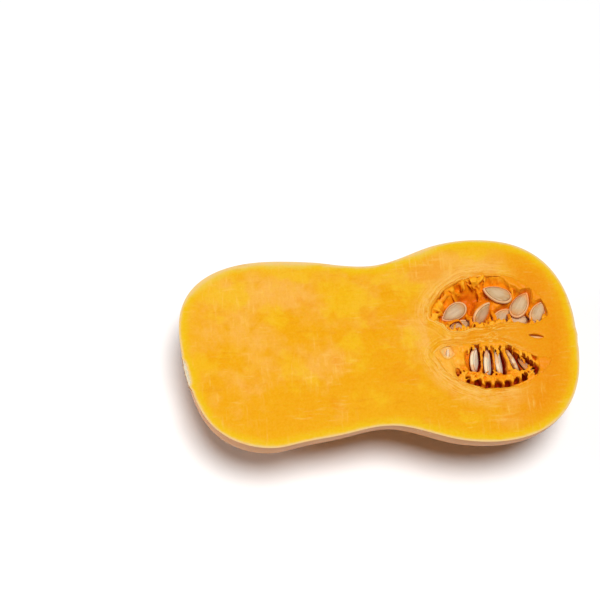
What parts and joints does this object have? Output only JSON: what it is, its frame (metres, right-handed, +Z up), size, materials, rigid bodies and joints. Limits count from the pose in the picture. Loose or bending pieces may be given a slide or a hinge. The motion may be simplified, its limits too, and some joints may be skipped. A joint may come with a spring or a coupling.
{
  "type": "halved butternut squash",
  "caption": "Half of a butternut squash cut lengthways, lying on its tan rind with the orange cut face and the seed hollow up.",
  "frame": {"origin": "middle of the half's footprint, at the level of the two flat spots that it rests on", "axes": "+X runs from the stem end to the blossom end, +Z up, out of the cut face, and +Y across towards the larger chamber of the seed hollow"},
  "size_m": [0.2206, 0.1208, 0.056],
  "materials": {
    "flesh_and_rind": "moist cut flesh, satin; the rind round it is smooth, tan and slightly waxy",
    "pulp": "wet, stringy",
    "seed": "papery husk, satin"
  },
  "bodies": {
    "root": {"squash_half": "flesh_and_rind", "pulp_upper_chamber": "pulp", "pulp_lower_chamber": "pulp", "seed_01": "seed", "seed_02": "seed", "seed_03": "seed", "seed_04": "seed", "seed_05": "seed", "seed_06": "seed", "seed_07": "seed", "seed_08": "seed", "seed_09": "seed", "seed_10": "seed", "seed_11": "seed", "seed_12": "seed", "seed_13": "seed", "seed_14": "seed", "seed_15": "seed"}
  },
  "joints": []
}
